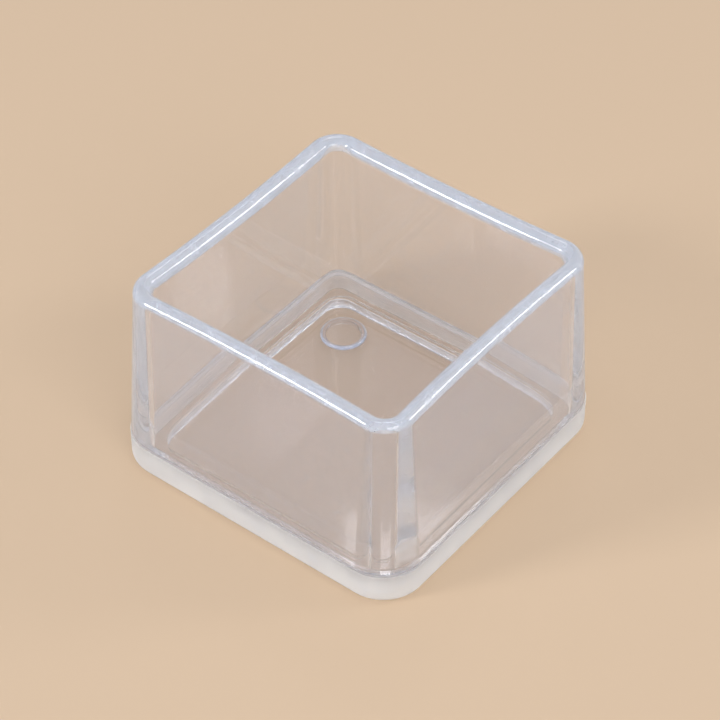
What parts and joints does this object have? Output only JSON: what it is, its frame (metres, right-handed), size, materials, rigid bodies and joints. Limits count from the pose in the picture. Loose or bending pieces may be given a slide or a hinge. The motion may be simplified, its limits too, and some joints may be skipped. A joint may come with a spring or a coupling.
{
  "type": "chair leg cap",
  "caption": "Clear square push-on cap for a chair leg: an open-topped tapered cup with a rounded rim, a frosted foot ring and a round plug in the floor.",
  "frame": {"origin": "middle of the underside, where the foot ring stands on the ground", "axes": "+Z out of the mouth, X and Y square to the walls; the floor plug is in the corner towards -X and +Y"},
  "size_m": [0.0488, 0.0488, 0.0306],
  "materials": {
    "clear_plastic": "clear, polished, faint blue-lilac tint",
    "frosted_plastic": "clear with a fine frosted outer face",
    "plug_plastic": "clear, polished"
  },
  "bodies": {
    "root": {"cup": "clear_plastic", "foot_ring": "frosted_plastic", "floor_plug": "plug_plastic"}
  },
  "joints": []
}
